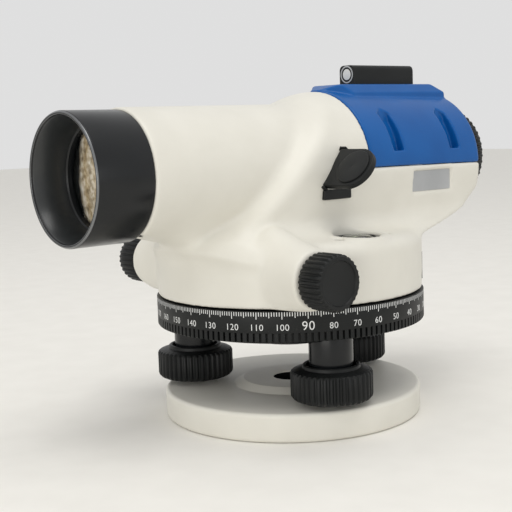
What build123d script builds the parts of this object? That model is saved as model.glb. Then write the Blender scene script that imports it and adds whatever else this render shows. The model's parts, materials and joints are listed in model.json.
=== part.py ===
from build123d import *
import os
from math import cos, pi, sin

# Automatic surveying level: base with three foot screws, graduated circle and telescope.
# Millimetres. The origin is the centre of the base plate's underside, +Z is up,
# the telescope points along -Y and the circular bubble is on the +X side.

os.makedirs("parts", exist_ok=True)

# base plate
BASE_R = 53.0
BASE_TOP = 11.2
BOSS_TOP = 13.4
TRIPOD_THREAD_R = 7.94

# foot screws
SCREW_CIRCLE_R = 41.5
SCREW_ANGLES = {"a": 100.0, "b": 220.0, "c": -20.0}
BALL_R = 5.0
BALL_Z = 8.2
BALL_GAP = 0.14
POCKET_R = 8.2
POCKET_FLOOR = 3.0
FOOT_KNOB_R = 15.8
FOOT_KNOB_Z = 13.4
FOOT_SPINDLE_R = 4.0
SLEEVE_R = 8.5
SLEEVE_Z = 24.0

# tribrach and horizontal circle
TRIBRACH_R = 48.4
TRIBRACH_TOP = 42.0
CIRCLE_R = 55.0
CIRCLE_Z0 = 38.4
CIRCLE_Z1 = 50.3
CIRCLE_BORE_R = 17.0
RUN = 0.06

# vertical axis
AXIS_SLEEVE_R = 12.0
SPINDLE_R = 7.0
WHEEL_TEETH = 68
WHEEL_TIP_R = 27.6
WHEEL_Z0 = 58.0
WHEEL_Z1 = 66.0
FLANGE_Z1 = 72.0

# housing
DRUM_R = 54.5
DRUM_Z0 = 50.9
TELESCOPE_Z = 101.2
TUBE_R = 24.9
TUBE_BORE_R = 22.4
TUBE_FRONT = -80.5
SEAM_FRONT = 16.8
SEAM_REAR = 83.6
SEAM_Z = 100.0
REAR_FACE = 86.4

# objective and eyepiece
HOOD_R = 24.2
HOOD_FRONT = -103.7
LENS_R = 18.4
DIOPTRE_R = 21.5
DIOPTRE_REAR = 101.0
EYECUP_REAR = 107.5

# tangent drive
TANGENT_Y = -32.4
TANGENT_Z = 62.1
TANGENT_KNOB_R = 10.4
TANGENT_X0 = 52.6
TANGENT_X1 = 63.9

# focusing drive
MODULE = 0.8
PINION_TEETH = 12
PINION_PITCH_R = MODULE * PINION_TEETH / 2
PINION_Y = 24.0
PINION_Z = 89.4
RACK_X = (-21.0, -17.0)
FOCUS_KNOB_R = 14.0

# bubble
VIAL_X = 41.0
VIAL_Y = -1.0
VIAL_R = 8.0
VIAL_SCREWS = ((VIAL_X + 3.0, VIAL_Y - 12.4), (VIAL_X + 3.0, VIAL_Y + 12.4))

# blank plate and bubble mirror
PLATE_X = 29.6
PLATE_Y = (42.0, 66.0)
PLATE_Z = (88.2, 97.2)
MIRROR = Pos(30.2, -3.6, 100.4) * Rot(51.0, 0, 0)
MIRROR_PIN_X = 2.6
MIRROR_R = 8.7
MIRROR_MID = 13.5


def disc_z(r_out, r_in, z0, z1, x=0, y=0):
    """Upright disc, or a ring when r_in is given."""
    body = Pos(x, y, (z0 + z1) / 2) * Cylinder(r_out, z1 - z0)
    if r_in > 0:
        body -= Pos(x, y, (z0 + z1) / 2) * Cylinder(r_in, z1 - z0 + 2)
    return body


def disc_y(r_out, r_in, y0, y1, x=0, z=TELESCOPE_Z):
    """Disc or ring whose axis is along Y."""
    body = Pos(x, (y0 + y1) / 2, z) * Rot(90, 0, 0) * Cylinder(r_out, y1 - y0)
    if r_in > 0:
        body -= Pos(x, (y0 + y1) / 2, z) * Rot(90, 0, 0) * Cylinder(r_in, y1 - y0 + 2)
    return body


def disc_x(r_out, r_in, x0, x1, y, z):
    """Disc or ring whose axis is along X."""
    body = Pos((x0 + x1) / 2, y, z) * Rot(0, 90, 0) * Cylinder(r_out, x1 - x0)
    if r_in > 0:
        body -= Pos((x0 + x1) / 2, y, z) * Rot(0, 90, 0) * Cylinder(r_in, x1 - x0 + 2)
    return body


def block(x0, x1, y0, y1, z0, z1):
    """Box between six limits."""
    middle = Pos((x0 + x1) / 2, (y0 + y1) / 2, (z0 + z1) / 2)
    return middle * Box(x1 - x0, y1 - y0, z1 - z0)


def turned_z(points, x=0, y=0):
    """Solid of revolution about an upright axis from (radius, z) points."""
    outline = Polyline(*[(r, 0, z) for r, z in points], close=True)
    return Pos(x, y, 0) * revolve(make_face(outline), Axis.Z)


def turned_y(points, x=0, z=TELESCOPE_Z):
    """Solid of revolution about an axis along Y from (radius, y) points."""
    outline = Polyline(*[(r, y, 0) for r, y in points], close=True)
    return Pos(x, 0, z) * revolve(make_face(outline), Axis.Y)


def ribbed_bar(radius, depth, count, length):
    """Bar along +Z with flat-topped ribs all round."""
    points = []
    for i in range(count):
        for share, r in ((0.0, radius), (0.5, radius), (0.62, radius - depth), (0.88, radius - depth)):
            angle = 2 * pi * (i + share) / count
            points.append((r * cos(angle), r * sin(angle)))
    return extrude(make_face(Polyline(*points, close=True)), amount=length)


def circle_y(radius, y, z):
    """Circle in a plane square to Y, for lofts."""
    return Plane(origin=(0, y, z), z_dir=(0, 1, 0)) * Circle(radius)


def screw_place(name):
    """Plan position of one foot screw."""
    angle = SCREW_ANGLES[name] * pi / 180
    return SCREW_CIRCLE_R * cos(angle), SCREW_CIRCLE_R * sin(angle)


def keep(name, *solids):
    """Writes one node's solids to its STEP file."""
    export_step(Compound(children=list(solids)) if len(solids) > 1 else solids[0], f"parts/{name}.step")


def base_plate():
    plate = turned_z(
        [
            (TRIPOD_THREAD_R, 0),
            (BASE_R - 1.2, 0),
            (BASE_R, 1.2),
            (BASE_R, BASE_TOP - 1.6),
            (BASE_R - 0.5, BASE_TOP - 0.5),
            (BASE_R - 1.6, BASE_TOP),
            (23.0, BASE_TOP),
            (21.5, BASE_TOP + 0.5),
            (19.5, BOSS_TOP),
            (TRIPOD_THREAD_R, BOSS_TOP),
        ]
    )
    for name in SCREW_ANGLES:
        x, y = screw_place(name)
        plate -= disc_z(POCKET_R, 0, POCKET_FLOOR, BASE_TOP + 1, x, y)
    return plate


def ball_room(x, y, radius):
    return Pos(x, y, BALL_Z) * Sphere(radius)


def seats():
    """Cups under two of the balls, and the seat ring of the swivelling third cup."""
    solids = []
    for name in ("b", "c"):
        x, y = screw_place(name)
        solids.append(disc_z(POCKET_R, 0, POCKET_FLOOR, 7.4, x, y) - ball_room(x, y, BALL_R + BALL_GAP))
    x, y = screw_place("a")
    solids.append(disc_z(POCKET_R, 4.2, POCKET_FLOOR, 5.2, x, y) - ball_room(x, y, 7.5))
    return solids


def retainers():
    """Rings that hold the balls down in the base plate."""
    solids = []
    for name in ("b", "c"):
        x, y = screw_place(name)
        ring = disc_z(POCKET_R, 0, 7.7, BASE_TOP - 0.2, x, y) - ball_room(x, y, BALL_R + BALL_GAP)
        solids.append(ring)
    x, y = screw_place("a")
    solids.append(disc_z(POCKET_R, 6.4, 9.6, BASE_TOP - 0.2, x, y) - ball_room(x, y, 7.7))
    return solids


def swivel_cup():
    x, y = screw_place("a")
    band = disc_z(10, 0, 4.0, 10.3, x, y)
    return (ball_room(x, y, 7.4) & band) - ball_room(x, y, BALL_R + BALL_GAP)


def foot_ball(name):
    x, y = screw_place(name)
    body = ball_room(x, y, BALL_R) + disc_z(3.0, 0, 11.0, 12.9, x, y)
    return body - disc_z(2.05, 0, 8.6, 14.0, x, y)


def foot_spindle(name):
    x, y = screw_place(name)
    return disc_z(2.0, 0, 9.0, 13.3, x, y) + disc_z(FOOT_SPINDLE_R, 0, 13.2, 36.4, x, y)


def foot_knob(name):
    x, y = screw_place(name)
    z0 = FOOT_KNOB_Z
    ribs = Pos(x, y, z0) * ribbed_bar(FOOT_KNOB_R, 0.8, 44, 11.0)
    outline = turned_z(
        [
            (FOOT_SPINDLE_R, z0),
            (FOOT_KNOB_R - 1.6, z0),
            (FOOT_KNOB_R, z0 + 1.4),
            (FOOT_KNOB_R, z0 + 10.4),
            (FOOT_KNOB_R - 0.6, z0 + 11.0),
            (FOOT_SPINDLE_R, z0 + 11.0),
        ],
        x,
        y,
    )
    crown = turned_z(
        [
            (10.0, z0 + 10.0),
            (FOOT_KNOB_R - 1.3, z0 + 10.0),
            (FOOT_KNOB_R - 1.3, z0 + 11.3),
            (12.4, z0 + 12.0),
            (11.0, z0 + 12.2),
            (10.7, z0 + 13.6),
            (10.0, z0 + 13.6),
        ],
        x,
        y,
    )
    knob = (ribs & outline) + crown
    return knob - disc_z(9.6, 0, 21.4, 30, x, y)


def tribrach():
    dish = turned_z(
        [
            (AXIS_SLEEVE_R, 30.0),
            (17.0, 30.0),
            (24.0, 32.0),
            (TRIBRACH_R - 0.6, 37.0),
            (TRIBRACH_R, 37.6),
            (TRIBRACH_R, TRIBRACH_TOP),
            (CIRCLE_BORE_R, TRIBRACH_TOP),
            (CIRCLE_BORE_R, 47.0),
            (AXIS_SLEEVE_R, 47.0),
        ]
    )
    for name in SCREW_ANGLES:
        x, y = screw_place(name)
        dish += disc_z(SLEEVE_R, 0, SLEEVE_Z, 37.9, x, y)
        dish += disc_z(6.8, 0, 37.0, 40.5, x, y)
    for name in SCREW_ANGLES:
        x, y = screw_place(name)
        dish -= disc_z(6.2, 0, 22.0, 38.2, x, y)
        dish -= disc_z(FOOT_SPINDLE_R + 0.5, 0, 22.0, 39.2, x, y)
        dish -= disc_z(7.4, 0, 22.0, 26.6, x, y)
    return dish


def foot_bushes():
    places = [screw_place(name) for name in SCREW_ANGLES]
    return [disc_z(6.2, FOOT_SPINDLE_R + RUN, 27.0, 38.2, x, y) for x, y in places]


def axis_sleeve():
    sleeve = disc_z(AXIS_SLEEVE_R, 0, 33.0, WHEEL_Z1 + 0.4)
    sleeve += disc_z(15.0, 0, 56.2, 57.6)
    return sleeve - disc_z(SPINDLE_R + RUN, 0, 32.0, 68.0)


def horizontal_circle():
    ring = turned_z(
        [
            (TRIBRACH_R + 0.6, CIRCLE_Z0 + 0.5),
            (TRIBRACH_R + 1.2, CIRCLE_Z0),
            (CIRCLE_R - 0.6, CIRCLE_Z0),
            (CIRCLE_R, CIRCLE_Z0 + 0.6),
            (CIRCLE_R, CIRCLE_Z1 - 0.3),
            (CIRCLE_R - 0.3, CIRCLE_Z1),
            (TRIBRACH_R + 0.6, CIRCLE_Z1),
            (TRIBRACH_R + 0.6, 46.0),
            (CIRCLE_BORE_R + RUN, 46.0),
            (CIRCLE_BORE_R + RUN, 43.0),
            (TRIBRACH_R + 0.6, 43.0),
        ]
    )
    count = 120
    grips = []
    for i in range(count):
        turn = Rot(0, 0, 360 * i / count)
        grips.append(turn * block(CIRCLE_R - 0.8, CIRCLE_R + 1, -0.7, 0.7, CIRCLE_Z0 - 1, CIRCLE_Z0 + 3.0))
    return ring - grips


def worm_wheel():
    pitch = 2 * pi / WHEEL_TEETH
    points = []
    root = WHEEL_TIP_R - 1.8
    tooth = ((-0.34, root), (-0.16, WHEEL_TIP_R), (0.16, WHEEL_TIP_R), (0.34, root))
    for i in range(WHEEL_TEETH):
        for share, r in tooth:
            points.append((r * cos((i + share) * pitch), r * sin((i + share) * pitch)))
    rim = Pos(0, 0, WHEEL_Z0) * extrude(make_face(Polyline(*points, close=True)), amount=WHEEL_Z1 - WHEEL_Z0)
    rim -= disc_z(23.0, 16.0, WHEEL_Z0 - 2, WHEEL_Z0 + 2)
    return rim - disc_z(AXIS_SLEEVE_R + RUN, 0, WHEEL_Z0 - 2, WHEEL_Z1 + 2)


def screw_circle(count, radius, start):
    angles = [(start + 360 * i / count) * pi / 180 for i in range(count)]
    return [(radius * cos(a), radius * sin(a)) for a in angles]


def spindle():
    body = disc_z(SPINDLE_R, 0, 32.6, 69.0) + disc_z(4.0, 0, 28.8, 33.0)
    body += disc_z(20.0, 0, 68.4, FLANGE_Z1)
    for x, y in screw_circle(4, 15.0, 45):
        body -= disc_z(1.6, 0, 67, 74, x, y)
    return body


def spindle_nut():
    nut = extrude(RegularPolygon(9.4, 6), amount=2.9)
    return Pos(0, 0, 29.4) * nut - disc_z(4.0, 0, 28, 34)


def spindle_screws():
    places = screw_circle(4, 15.0, 45)
    return [disc_z(1.5, 0, 68.8, 76.0, x, y) + disc_z(2.7, 0, 75.6, 77.6, x, y) for x, y in places]


def housing_outside():
    drum = turned_z(
        [
            (0, DRUM_Z0),
            (DRUM_R - 0.4, DRUM_Z0),
            (DRUM_R, DRUM_Z0 + 0.4),
            (DRUM_R, 66.0),
            (DRUM_R - 0.8, 69.6),
            (DRUM_R - 3.2, 72.6),
            (DRUM_R - 8.0, 74.4),
            (36.0, 75.8),
            (0, 78.0),
        ]
    )
    barrel = loft(
        [
            circle_y(TUBE_R, TUBE_FRONT, TELESCOPE_Z),
            circle_y(TUBE_R, -30.0, TELESCOPE_Z),
            circle_y(27.0, -10.0, 100.4),
            circle_y(30.4, 6.0, 99.2),
            circle_y(32.5, SEAM_FRONT, 98.4),
            circle_y(30.4, SEAM_REAR, 98.9),
            circle_y(29.4, REAR_FACE, 99.0),
        ],
        ruled=True,
    )
    low = Plane(origin=(0, 0, 70.0)) * Pos(0, 7.0) * RectangleRounded(72.0, 94.0, 30.0)
    mid = Plane(origin=(0, 0, 80.0)) * Pos(0, 23.5) * RectangleRounded(60.0, 109.0, 20.0)
    high = Plane(origin=(0, 0, 98.0)) * Pos(0, 33.0) * RectangleRounded(58.0, 106.0, 8.0)
    pedestal = loft([low, mid, high], ruled=True)
    front = loft(
        [
            Plane(origin=(0, 0, 68.0)) * Pos(0, -8.0) * Ellipse(45.0, 43.0),
            Plane(origin=(0, 0, 82.0)) * Pos(0, -12.0) * Ellipse(23.0, 34.0),
        ],
        ruled=True,
    )
    body = drum + barrel + pedestal + front - below_rear(0.0)
    for side in (1, -1):
        inner = Plane(origin=(side * 34.0, TANGENT_Y, TANGENT_Z), z_dir=(1, 0, 0))
        outer = Plane(origin=(side * 52.3, TANGENT_Y, TANGENT_Z), z_dir=(1, 0, 0))
        body += loft([inner * Ellipse(10.9, 17.0), outer * Ellipse(10.9, 10.8)], ruled=True)
    return body


def below_rear(lift):
    """The room under the sloping rear underside, raised by the given amount."""
    outline = [(54.6, 69.8), (78.0, 79.8), (REAR_FACE + 2, 89.9), (REAR_FACE + 2, 40.0), (54.6, 40.0)]
    face = make_face(Polyline(*[(y, z + lift) for y, z in outline], close=True))
    return extrude(Plane.YZ * face, 60, both=True)


def housing_inside():
    cavity = turned_z([(0, 45), (51.2, 45), (51.2, 65.6), (47.0, 70.0), (38.0, FLANGE_Z1), (0, FLANGE_Z1)])
    bore = disc_y(TUBE_BORE_R, 0, TUBE_FRONT - 5, 12.0)
    flare = loft([circle_y(TUBE_BORE_R, -26.0, TELESCOPE_Z), circle_y(29.6, SEAM_FRONT, 98.4)], ruled=True)
    trunk = loft([circle_y(29.6, SEAM_FRONT, 98.4), circle_y(27.8, SEAM_REAR, 98.9)], ruled=True)
    room = (flare + trunk) & block(-60, 60, -40, 100, 75.6, 140)
    return cavity, bore + (room - below_rear(3.0))


def housing():
    low, high = housing_inside()
    pocket_wall = disc_z(VIAL_R + 3.2, 0, 64.0, 73.0, VIAL_X, VIAL_Y)
    body = housing_outside() - low - high + pocket_wall
    body -= block(-60, 60, SEAM_FRONT, REAR_FACE + 5, SEAM_Z, 150)
    body -= disc_z(VIAL_R + 1.0, 0, 66.0, 90.0, VIAL_X, VIAL_Y)
    body -= disc_y(12.6, 0, SEAM_REAR - 5, REAR_FACE + 5)
    for side in (1, -1):
        body -= disc_x(6.0, 0, min(side * 30, side * 60), max(side * 30, side * 60), TANGENT_Y, TANGENT_Z)
    body -= disc_x(5.0, 0, -40, -25, PINION_Y, PINION_Z)
    for x, y in screw_circle(4, 15.0, 45):
        body -= disc_z(1.6, 0, 70, 80, x, y) + disc_z(3.1, 0, 75.6, 82.0, x, y)
    for x, y in VIAL_SCREWS:
        body -= disc_z(1.7, 0, 70.0, 85.0, x, y)
    body -= block(PLATE_X, 36.0, *PLATE_Y, *PLATE_Z)
    return body - mirror_bracket() - reading_window()


def lower_cover():
    return disc_z(51.0, 24.0, 51.6, 53.2)


def top_cover():
    outside = loft(
        [
            circle_y(32.6, SEAM_FRONT + 0.15, 98.4),
            circle_y(30.5, SEAM_REAR, 98.9),
            circle_y(29.4, REAR_FACE, 99.0),
        ],
        ruled=True,
    )
    inside = loft([circle_y(29.6, SEAM_FRONT - 1, 98.4), circle_y(27.8, SEAM_REAR, 98.9)], ruled=True)
    rib_low = Plane(origin=(0, 0, 118.0)) * Pos(0, 53.6) * Rectangle(24.0, 63.4)
    rib_mid = Plane(origin=(0, 0, 130.0)) * Pos(0, 53.6) * Rectangle(24.0, 63.4)
    rib_high = Plane(origin=(0, 0, 133.8)) * Pos(0, 52.0) * Rectangle(17.0, 56.0)
    rib = loft([rib_low, rib_mid, rib_high], ruled=True)
    shell = (outside + rib) & block(-60, 60, SEAM_FRONT + 0.15, REAR_FACE, SEAM_Z + 0.1, 150)
    shell -= inside + disc_y(12.6, 0, SEAM_REAR - 5, REAR_FACE + 5)
    for y in (34.0, 69.5):
        for side in (1, -1):
            for angle in (42, 50, 58, 66, 74):
                turn = Pos(0, y, 98.6) * Rot(0, side * angle, 0)
                shell -= turn * Pos(0, 0, 33.0) * Box(6.2, 6.0, 4.4)
    return shell


def objective_hood():
    return turned_y(
        [
            (LENS_R + 0.4, -72.0),
            (TUBE_BORE_R - 0.02, -72.0),
            (TUBE_BORE_R - 0.02, TUBE_FRONT),
            (HOOD_R, TUBE_FRONT),
            (HOOD_R, HOOD_FRONT + 0.6),
            (HOOD_R - 0.6, HOOD_FRONT),
            (HOOD_R - 1.2, HOOD_FRONT),
            (HOOD_R - 2.2, HOOD_FRONT + 1.2),
            (19.2, -91.0),
            (LENS_R + 0.4, -91.0),
        ]
    )


def lens_y(radius, y_front, y_rear, front_sag, rear_sag):
    """Lens turned from straight facets that follow its two curved faces."""
    steps = [i / 6 for i in range(7)]
    front = [(radius * s, y_front + front_sag * s * s) for s in steps]
    rear = [(radius * s, y_rear - rear_sag * s * s) for s in reversed(steps)]
    return turned_y(front + rear)


def focus_carrier():
    tube = disc_y(15.0, 12.0, -30.0, 0.0)
    arm = block(RACK_X[0], -13.0, -3.6, 0.0, 95.6, 100.4)
    bar = block(RACK_X[0], RACK_X[1], -3.6, 46.0, 96.0, 99.6)
    pitch = MODULE * pi
    line = PINION_Z + PINION_PITCH_R
    teeth = []
    for i in range(-9, 9):
        y = PINION_Y + (i + 0.5) * pitch
        if y < 2.0 or y > 45.0:
            continue
        outline = Polyline(
            (RACK_X[0], y - 0.78, 96.05),
            (RACK_X[0], y - 0.24, line - 0.62),
            (RACK_X[0], y + 0.24, line - 0.62),
            (RACK_X[0], y + 0.78, 96.05),
            close=True,
        )
        teeth.append(extrude(make_face(outline), amount=RACK_X[1] - RACK_X[0], dir=(1, 0, 0)))
    return tube + arm + bar + teeth


def focus_shaft():
    points = []
    for i in range(PINION_TEETH):
        for turn, r in ((-8.4, 3.7), (-3.0, 5.42), (3.0, 5.42), (8.4, 3.7)):
            angle = (90 + 360 * i / PINION_TEETH + turn) * pi / 180
            points.append((0, r * cos(angle), r * sin(angle)))
    face = make_face(Polyline(*points, close=True))
    pinion = Pos(RACK_X[0] - 0.4, PINION_Y, PINION_Z) * extrude(face, amount=4.8, dir=(1, 0, 0))
    return pinion + disc_x(2.5, 0, -44.0, -16.0, PINION_Y, PINION_Z)


def focus_knob():
    ribs = Pos(-47.4, PINION_Y, PINION_Z) * Rot(0, 90, 0) * ribbed_bar(FOCUS_KNOB_R, 0.8, 40, 14.0)
    ribs &= Pos(-40.4, PINION_Y, PINION_Z) * Rot(0, 90, 0) * chamfered_bar(FOCUS_KNOB_R, 14.0, 1.2)
    ribs -= disc_x(2.5, 0, -44.0, -30.0, PINION_Y, PINION_Z)
    return ribs - disc_x(6.4, 0, -37.4, -30.0, PINION_Y, PINION_Z)


def chamfered_bar(radius, length, size):
    """Bar along Z, centred, with both rims chamfered."""
    bar = Cylinder(radius, length)
    return chamfer(bar.edges().filter_by(GeomType.CIRCLE), size)


def focus_bush():
    return disc_x(5.0, 2.5 + RUN, -36.4, -26.0, PINION_Y, PINION_Z)


def tangent_knobs():
    knobs = []
    length = TANGENT_X1 - TANGENT_X0
    for side in (1, -1):
        place = Pos(side * (TANGENT_X0 + length / 2), TANGENT_Y, TANGENT_Z) * Rot(0, 90, 0)
        ribs = place * Pos(0, 0, -length / 2) * ribbed_bar(TANGENT_KNOB_R, 0.7, 34, length)
        knob = ribs & (place * chamfered_bar(TANGENT_KNOB_R, length, 1.0))
        knobs.append(knob - disc_x(3.0, 0, -59.0, 59.0, TANGENT_Y, TANGENT_Z))
    return knobs


def tangent_shaft():
    shaft = disc_x(3.0, 0, -59.0, 59.0, TANGENT_Y, TANGENT_Z)
    shaft += disc_x(3.4, 0, -12.0, 12.0, TANGENT_Y, TANGENT_Z)
    for i in range(-4, 5):
        x = i * MODULE * pi
        ridge = turned_z([(3.2, x - 0.8), (4.4, x - 0.3), (4.4, x + 0.3), (3.2, x + 0.8)])
        shaft += Pos(0, TANGENT_Y, TANGENT_Z) * Rot(0, 90, 0) * ridge
    return shaft


def tangent_bushes():
    return [
        disc_x(6.0, 3.0 + RUN, 43.0, 52.2, TANGENT_Y, TANGENT_Z),
        disc_x(6.0, 3.0 + RUN, -52.2, -43.0, TANGENT_Y, TANGENT_Z),
    ]


def comp_frame():
    base = block(-15.0, 15.0, 32.0, 58.0, 75.6, 79.0)
    cheeks = block(13.0, 15.0, 32.0, 58.0, 79.0, 122.0) + block(-15.0, -13.0, 32.0, 58.0, 79.0, 122.0)
    bridge = block(-15.0, 15.0, 42.0, 48.0, 120.4, 123.0)
    ledges = block(-13.0, 13.0, 32.0, 35.0, 79.0, 90.0) + block(-13.0, 13.0, 55.0, 58.0, 79.0, 90.0)
    return base + cheeks + bridge + ledges


def comp_prisms():
    low = block(-9.0, 9.0, 32.6, 36.6, 90.0, 112.0)
    high = block(-9.0, 9.0, 53.4, 57.4, 90.0, 112.0)
    return [low, high]


def comp_pendulum():
    plate = block(-10.5, 10.5, 40.0, 50.0, 84.0, 88.0)
    cheeks = block(8.6, 10.5, 41.0, 49.0, 88.0, 113.0) + block(-10.5, -8.6, 41.0, 49.0, 88.0, 113.0)
    bridge = block(-10.5, 10.5, 42.0, 48.0, 112.0, 114.6)
    vane = block(-6.0, 6.0, 44.6, 45.4, 80.2, 84.0)
    return plate + cheeks + bridge + vane


def comp_wires():
    wires = []
    for x in (-7.0, 7.0):
        for y in (43.4, 46.6):
            wires.append(disc_z(0.15, 0, 114.6, 120.2, x, y))
    return wires


def dioptre_ring():
    ribs = Pos(0, DIOPTRE_REAR, TELESCOPE_Z) * Rot(90, 0, 0) * ribbed_bar(DIOPTRE_R, 0.8, 56, 12.0)
    ring = ribs - disc_y(19.0 + RUN, 0, 80.0, 97.0)
    cup = disc_y(14.6, 0, 99.0, EYECUP_REAR)
    return ring + cup - disc_y(12.1, 0, 80.0, 120.0)


def eyepiece_mount():
    return disc_y(19.0, 12.1, REAR_FACE, 96.4) + disc_y(12.5, 11.0, 76.0, REAR_FACE)


def ocular_barrel():
    return disc_y(10.9, 8.6, 80.2, 104.6)


def ocular_lenses():
    return [disc_y(8.6, 0, 83.0, 87.0), disc_y(8.6, 0, 98.6, 102.6)]


def vial_holder():
    cup = disc_z(VIAL_R + 0.8, 0, 66.2, 74.6, VIAL_X, VIAL_Y)
    cup -= disc_z(VIAL_R - 0.4, 0, 68.0, 80.0, VIAL_X, VIAL_Y)
    return cup


def vial():
    return disc_z(VIAL_R - 0.5, 0, 68.1, 74.0, VIAL_X, VIAL_Y)


def vial_screws():
    return [disc_z(1.7, 0, 70.0, 73.8, x, y) for x, y in VIAL_SCREWS]


def mirror_bracket():
    bar = block(-6.0, 0.8, -10.2, 10.2, -1.3, 1.3)
    for side in (1, -1):
        bar += block(-6.0, 3.6, min(side * 9.0, side * 10.2), max(side * 9.0, side * 10.2), -1.3, 1.3)
    pin = Pos(MIRROR_PIN_X, 0, 0) * Rot(90, 0, 0) * Cylinder(0.6, 19.6)
    foot = block(26.6, 33.4, -9.0, 5.2, 88.6, 92.4)
    return MIRROR * (bar + pin) + foot


def mirror_arm():
    plate = disc_z(MIRROR_R, 0, -1.3, 1.3, MIRROR_MID) + block(1.7, MIRROR_MID, -MIRROR_R, MIRROR_R, -1.3, 1.3)
    plate += disc_z(MIRROR_R - 1.4, 0, 1.3, 1.9, MIRROR_MID)
    pin_hole = Pos(MIRROR_PIN_X, 0, 0) * Rot(90, 0, 0) * Cylinder(0.66, 24.0)
    return MIRROR * (plate - pin_hole)


def mirror_glass():
    return MIRROR * disc_z(MIRROR_R - 1.6, 0, -1.9, -1.3, MIRROR_MID)


def name_plate():
    return block(PLATE_X, PLATE_X + 1.4, *PLATE_Y, *PLATE_Z)


def reading_window():
    turn = Rot(0, 0, 62.0)
    return turn * block(53.6, 56.4, -5.0, 5.0, 51.6, 63.0)


def sight_body():
    body = block(-4.4, 4.4, 36.0, 73.0, 133.8, 142.0)
    body = fillet(body.edges().filter_by(Axis.Y).group_by(Axis.Z)[-1], 2.4)
    return body - disc_y(3.0, 0, 30.0, 80.0, z=138.2)


def sight_glass():
    return [disc_y(3.0, 0, 37.0, 39.0, z=138.2), disc_y(3.0, 0, 70.0, 72.0, z=138.2)]


keep("base_plate", base_plate())
keep("base_seats", *seats())
keep("ball_retainers", *retainers())
keep("swivel_cup", swivel_cup())
for screw in SCREW_ANGLES:
    keep(f"foot_ball_{screw}", foot_ball(screw))
    keep(f"foot_spindle_{screw}", foot_spindle(screw))
    keep(f"foot_knob_{screw}", foot_knob(screw))
screw_c = screw_place("c")
keep("dust_ring", disc_z(6.5, 4.7, 24.6, 26.2, *screw_c))
keep("tribrach", tribrach())
keep("foot_bushes", *foot_bushes())
keep("axis_sleeve", axis_sleeve())
keep("circle_washer", disc_z(30.0, CIRCLE_BORE_R, TRIBRACH_TOP, 42.9))
keep("circle_retainer", disc_z(20.0, AXIS_SLEEVE_R, 47.0, 48.6))
keep("horizontal_circle", horizontal_circle())
keep("worm_wheel", worm_wheel())
keep("spindle", spindle())
keep("spindle_nut", spindle_nut())
keep("spindle_screws", *spindle_screws())
keep("housing", housing())
keep("lower_cover", lower_cover())
keep("top_cover", top_cover())
keep("objective_hood", objective_hood())
keep("objective_lens", lens_y(LENS_R, -90.2, -82.0, 1.6, 1.0))
keep("objective_retainer", disc_y(LENS_R + 0.4, 16.6, -82.75, -80.0))
keep("focus_guide", disc_y(TUBE_BORE_R, 15.0 + RUN, -34.0, -14.0))
keep("focus_bush", focus_bush())
keep("focus_shaft", focus_shaft())
keep("focus_knob", focus_knob())
keep("focus_carrier", focus_carrier())
keep("focus_lens", lens_y(12.0, -18.0, -14.0, -1.0, -1.0))
keep("comp_frame", comp_frame())
keep("comp_prisms", *comp_prisms())
keep("comp_pendulum", comp_pendulum())
keep("comp_prism_moving", block(-8.6, 8.6, 41.4, 48.6, 92.0, 110.0))
keep("comp_wires", *comp_wires())
keep("reticle_mount", disc_y(11.0, 7.0, 76.4, 78.6))
keep("reticle", disc_y(7.0, 0, 76.8, 78.2))
keep("eyepiece_mount", eyepiece_mount())
keep("dioptre_ring", dioptre_ring())
keep("ocular_barrel", ocular_barrel())
keep("ocular_lenses", *ocular_lenses())
keep("vial_holder", vial_holder())
keep("vial", vial())
keep("vial_screws", *vial_screws())
keep("mirror_bracket", mirror_bracket())
keep("mirror_arm", mirror_arm())
keep("mirror_glass", mirror_glass())
keep("tangent_shaft", tangent_shaft())
keep("tangent_knobs", *tangent_knobs())
keep("tangent_bushes", *tangent_bushes())
keep("name_plate", name_plate())
keep("reading_window", reading_window())
keep("sight_body", sight_body())
keep("sight_glass", *sight_glass())
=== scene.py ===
"""Automatic surveying level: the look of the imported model, in metres, in the same frame."""
import json
import math
import bmesh
import bpy
import numpy as np
import openvdb
from mathutils import Matrix, Vector


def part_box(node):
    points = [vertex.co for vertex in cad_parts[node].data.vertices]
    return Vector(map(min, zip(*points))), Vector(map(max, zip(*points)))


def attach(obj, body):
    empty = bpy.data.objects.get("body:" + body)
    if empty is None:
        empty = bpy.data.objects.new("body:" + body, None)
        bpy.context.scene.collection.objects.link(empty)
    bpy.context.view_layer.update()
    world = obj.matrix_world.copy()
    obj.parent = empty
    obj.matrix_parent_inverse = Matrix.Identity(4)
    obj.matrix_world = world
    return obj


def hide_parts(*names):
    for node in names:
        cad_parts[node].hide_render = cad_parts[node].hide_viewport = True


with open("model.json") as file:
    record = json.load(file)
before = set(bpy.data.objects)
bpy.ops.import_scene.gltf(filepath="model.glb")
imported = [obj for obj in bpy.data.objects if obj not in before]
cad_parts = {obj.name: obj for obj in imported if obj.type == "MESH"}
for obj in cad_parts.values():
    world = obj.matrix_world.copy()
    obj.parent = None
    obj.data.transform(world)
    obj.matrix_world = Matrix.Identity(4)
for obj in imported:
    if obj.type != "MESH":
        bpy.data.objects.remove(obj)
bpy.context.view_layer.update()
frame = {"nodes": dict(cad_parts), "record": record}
record = frame["record"]
nodes = frame["nodes"]
MM = 0.001

# main dimensions in millimetres
AXIS_Z = 101.2
TUBE_R = 24.9
DRUM_R = 54.5
DRUM_FOOT_Z = 50.9
RING_R = 55.0
KNOB_AXIS_Y = -32.4
KNOB_AXIS_Z = 62.1
FOCUS_AXIS_Y = 24.0
FOCUS_AXIS_Z = 89.4
EYEPIECE_HOLE_R = 12.6
COVER_FRONT_Y = 16.8
RIB_TOP_Z = 133.7
COVER_AXIS_Z = 98.6
SIGHT_BASE_Z = 133.4
VIAL_X = 41.0
VIAL_Y = -1.0
THREAD_R = 7.94
BOSS_TOP_Z = 13.4


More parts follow.
